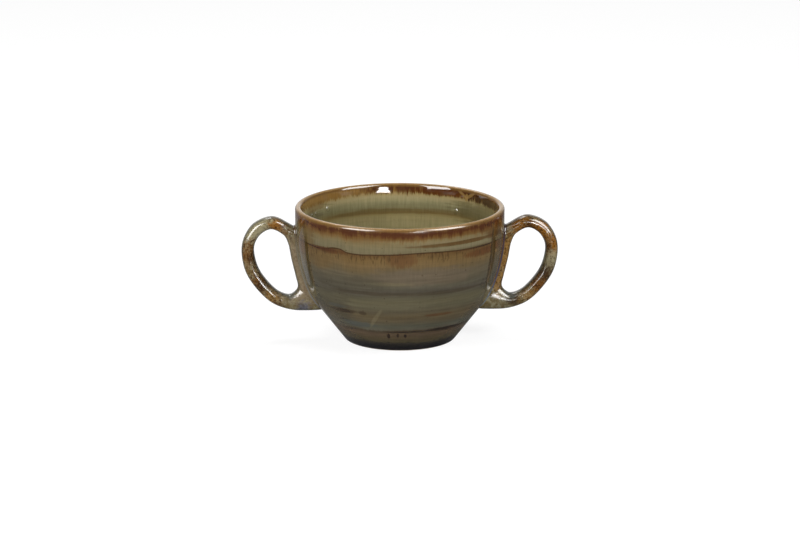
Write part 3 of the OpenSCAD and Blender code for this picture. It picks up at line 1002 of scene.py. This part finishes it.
# The corner under the finger hole, where the glaze is less glossy: x, z, fade in mm and roughness
CORNER_X, CORNER_Z, CORNER_FADE, CORNER_DULL = 53, 22, (7, 4), 0.08
MOTTLE_RELIEF = 0.1 * MM


def off_point(w, x, z, point_x, point_z):
    """Distance from a point in the handle's plane."""
    return w.length(w.combined(x - point_x, 0, z - point_z))


def glaze_handle():
    """The handles' glaze: cream and olive under mottled places of gold, rust and dark brown.

    Specks lie thickest on the rust, and the strap's edges are darkened with painted shade.
    """
    material, w, place = new_material("handle_glaze")
    position = w.scaled(place, 1 / MM)
    x, _, z = w.parts(position)
    cloud = w.noise(position, 0.25, 3, 0.6, 0.6)
    mottle = w.noise(position, 0.34, 5, 0.75, 0.8)
    grain = w.noise(position, 0.8, 4, 0.75, 0.4)
    rags = (mottle - 0.5) * HANDLE_RAGS
    colour = w.mix(w.step(cloud, 0.38, 0.62), OLIVE, CREAM)
    rusty = 0
    for label, paint, middle_x, middle_z, radius, strength in HANDLE_PLACES:
        off = off_point(w, x, z, middle_x, middle_z)
        mask = w.step(off / radius + rags, *HANDLE_FADE)
        colour = w.mix(mask * strength, colour, paint, label=label)
        if paint in RUSTY:
            rusty = w.math("MAXIMUM", rusty, w.step(off, 2 * radius, radius))
    specks = w.step(grain, *SPECK_GRAINS) * (rusty * 0.5 + 0.35)
    colour = w.mix(specks, colour, UMBER)
    breaks = w.step(grain, *BREAK_GRAINS) * (rusty * 0.3 + 0.2)
    colour = w.mix(breaks, colour, CREAM)
    rim_share = w.node("ShaderNodeAttribute", attribute_name="rim_share")["Fac"]
    # Painted shade along the strap's edges, darker as the section turns from the front
    painted_rim_shade = w.step(rim_share + mottle * 0.3, *RIM_SHADE_FADE)
    colour = w.mix(painted_rim_shade * RIM_SHADE_STRENGTH, colour, RIM_SHADE_OLIVE)
    height, roughness = melted(w, place, (1.4, 0.04), (5, 0.2), (0.05, 0.08))
    corner = w.step(off_point(w, abs(x), z, CORNER_X, CORNER_Z), *CORNER_FADE)
    add_surface(w, colour, roughness + corner * CORNER_DULL, height + mottle * MOTTLE_RELIEF)
    return material


# Colours down the seams by share of the height: grey and tan at the left, blue and violet at the right
# These glaze colours are lightened as painted light against the shade in the joint's hollow
SEAM_LEFT_STOPS = [(0.2, 84, 80, 84), (0.32, 108, 108, 106), (0.5, 116, 110, 96), (0.75, 110, 102, 84),
                   (0.9, 78, 60, 40)]
SEAM_RIGHT_STOPS = [(0.2, 72, 76, 84), (0.32, 96, 112, 124), (0.5, 70, 68, 82), (0.75, 66, 54, 60),
                    (0.9, 60, 42, 36)]
SEAM_WANDER = 0.1


def glaze_seam():
    """Glaze pooled in the joint's hollow, coloured by height and side and lightened as painted light against
    its shade.
    """
    material, w, place = new_material("seam_glaze")
    position = w.scaled(place, 1 / MM)
    x, _, z = w.parts(position)
    share = z / BOWL_H + w.noise(position, 0.6, 3, 0.6) * SEAM_WANDER
    at_right = w.math("GREATER_THAN", x, 0)
    colour = w.mix(at_right, w.ramp(share, SEAM_LEFT_STOPS), w.ramp(share, SEAM_RIGHT_STOPS))
    height, roughness = melted(w, place, (1.4, 0.006), (5, 0.04), (0.05, 0.06))
    add_surface(w, colour, roughness, height)
    return material


CLAY = tint(206, 190, 164)
CLAY_DARK = tint(170, 148, 120)
CLAY_ROUGHNESS, CLAY_SPREAD, GLAZED_LESS = 0.75, 0.15, 0.7
CLAY_RELIEF = 0.06 * MM
# Height over the table, in mm, at which glaze covers the foot, and how far that line wavers
FOOT_GLAZE, FOOT_WAVER = (0.5, 0.75), 0.4


def clay_foot():
    """The foot: bare clay on the face and just round its edges, and above a wavering line plum glaze made
    nearly black with painted shade.
    """
    material, w, place = new_material("bare_clay")
    position = w.scaled(place, 1 / MM)
    _, _, height = w.parts(position)
    grain = w.noise(position, 3, 4, 0.7)
    clay = w.mix(w.step(grain, 0.35, 0.75), CLAY, CLAY_DARK)
    glazed = w.step(height + w.noise(position, 0.2, 2) * FOOT_WAVER, *FOOT_GLAZE)
    roughness = grain * CLAY_SPREAD + CLAY_ROUGHNESS - glazed * GLAZED_LESS
    add_surface(w, w.mix(glazed, clay, FOOT_PLUM_IN_SHADE), roughness, (1 - glazed) * grain * CLAY_RELIEF)
    return material


def dress():
    """Builds each piece, gives it its finish, and sets it in place of its CAD node."""
    dressed = [
        (make_bowl(), "bowl_body", "bowl_glaze", glaze_bowl()),
        (make_foot(), "foot_ring", "bare_clay", clay_foot())]
    handle_finish, seam_finish = glaze_handle(), glaze_seam()
    for word, side in (("right", 1), ("left", -1)):
        dressed += [
            (make_handle(word + "_lug", side), word + "_handle", "handle_glaze", handle_finish),
            (make_seam(word + "_lug_seam", side), word + "_handle_seam", "seam_glaze", seam_finish)]
    for piece, node, slot, finish in dressed:
        piece.data.materials.append(finish)
        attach(piece, "root")
        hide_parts(node)


dress()

# Lamps: name, azimuth, elevation, distance, width and height in metres, brightness, rays that see it.
# Those that only mirror rays see give the glaze its highlights, and the others light its colour.
SOFTBOXES = [
    ("left_light", -48, 23, 1.3, 0.66, 0.42, 13, "diffuse"),
    ("right_light", 58, 38, 1.3, 0.66, 0.34, 13.5, "diffuse"),
    ("front_light", 14, 4, 1.2, 0.4, 0.16, 18, "diffuse"),
    ("top_light", -155, 66, 1.2, 0.8, 0.4, 7, "diffuse"),
    ("left_softbox", -50, 27, 1.3, 0.72, 0.96, 14, "mirror"),
    ("right_softbox", 56, 36, 1.3, 0.8, 1.2, 14, "mirror"),
    ("back_softbox", -166, 45, 1.3, 0.3, 0.4, 5, "mirror"),
    ("small_lamp", 18.5, 5, 0.55, 0.13, 0.135, 22, "mirror")]
# Lamps narrower than this are round
SMALL_LAMP_W = 0.2


def add_softbox(name, azimuth, elevation, distance, width, height, brightness, seen_by):
    """A lamp that faces the bowl; its power is brightness x pi x width x height."""
    lamp = bpy.data.lights.new(name, "AREA")
    lamp.shape = "ELLIPSE" if width < SMALL_LAMP_W else "RECTANGLE"
    lamp.size, lamp.size_y = width, height
    lamp.energy = brightness * math.pi * width * height
    holder = added(name, lamp)
    middle = Vector((0, 0, BOWL_H / 2 * MM))
    aim(holder, middle, azimuth, elevation, distance, middle)
    holder.visible_camera = False
    holder.visible_diffuse = seen_by == "diffuse"
    holder.visible_glossy = seen_by == "mirror"


WHITE = grey(1)
# Studio light in front and behind, as it lights colours and as the glaze mirrors it
STUDIO = grey(0.17), grey(0.4)
MIRRORED = grey(0.1), grey(0.3)


def add_world():
    """White where the camera looks; grey studio light, dimmer in front than behind, for everything else."""
    world = bpy.data.worlds.new("studio")
    w = emptied(world)
    _, behind, _ = w.parts(w.node("ShaderNodeTexCoord")["Generated"])
    studio = w.mix(w.step(behind, -0.3, 0.8), *STUDIO)
    backdrop = w.mix(w.step(behind, 0.5, 0.65), *MIRRORED)
    backdrop = w.mix(w.step(behind, 0.85, 0.97), backdrop, WHITE)
    soft, mirrored, white = (w.node("ShaderNodeBackground", {"Color": colour, "Strength": 1})[0]
                             for colour in (studio, backdrop, WHITE))
    rays = w.node("ShaderNodeLightPath")
    unseen = w.mix_shader(rays["Is Glossy Ray"], soft, mirrored)
    seen = w.math("MAXIMUM", rays["Is Camera Ray"], rays["Is Transmission Ray"])
    w.node("ShaderNodeOutputWorld", {"Surface": w.mix_shader(seen, unseen, white)})
    bpy.context.scene.world = world


# The floor's side in metres, its own colour and the colour that catches the shadow, and its glow
FLOOR_SIDE = 5
FLOOR_PALE, FLOOR_CATCH, FLOOR_GLOW = grey(0.6), grey(0.2), 0.85
# The floor as the glaze mirrors it: in front, behind and at the right
FLOOR_SHEEN, FLOOR_SHEEN_RIGHT = (grey(0.12), grey(0.3)), grey(0.08)


def add_floor():
    """A plain pale floor, whose soft white shows to the camera with the object's shadow kept."""
    half = FLOOR_SIDE / 2
    corners = np.array([[-half, -half, 0], [half, -half, 0], [half, half, 0], [-half, half, 0]]) / MM
    floor = mesh_piece("floor", corners, [np.arange(4)[None]])
    material = bpy.data.materials.new("pale_floor")
    w = emptied(material)
    pale = w.node("ShaderNodeBsdfDiffuse", {"Color": FLOOR_PALE})[0]
    catch = w.node("ShaderNodeBsdfDiffuse", {"Color": FLOOR_CATCH})[0]
    glow = w.node("ShaderNodeEmission", {"Color": WHITE, "Strength": FLOOR_GLOW})[0]
    right, behind, _ = w.parts(w.vector("NORMALIZE", w.node("ShaderNodeTexCoord")["Object"]))
    sheen = w.mix(w.step(behind, 0.3, 0.55), *FLOOR_SHEEN)
    sheen = w.mix(w.step(right, 0.38, 0.62), sheen, FLOOR_SHEEN_RIGHT)
    mirrored = w.node("ShaderNodeEmission", {"Color": sheen, "Strength": 1})[0]
    seen = w.node("ShaderNodeAddShader", {0: catch, 1: glow})[0]
    rays = w.node("ShaderNodeLightPath")
    by_mirror = w.math("MAXIMUM", rays["Is Glossy Ray"], rays["Is Transmission Ray"])
    unseen = w.mix_shader(by_mirror, pale, mirrored)
    w.node("ShaderNodeOutputMaterial", {"Surface": w.mix_shader(rays["Is Camera Ray"], unseen, seen)})
    floor.data.materials.append(material)


for softbox in SOFTBOXES:
    add_softbox(*softbox)
add_world()
add_floor()
bpy.context.scene.view_settings.view_transform = "Standard"
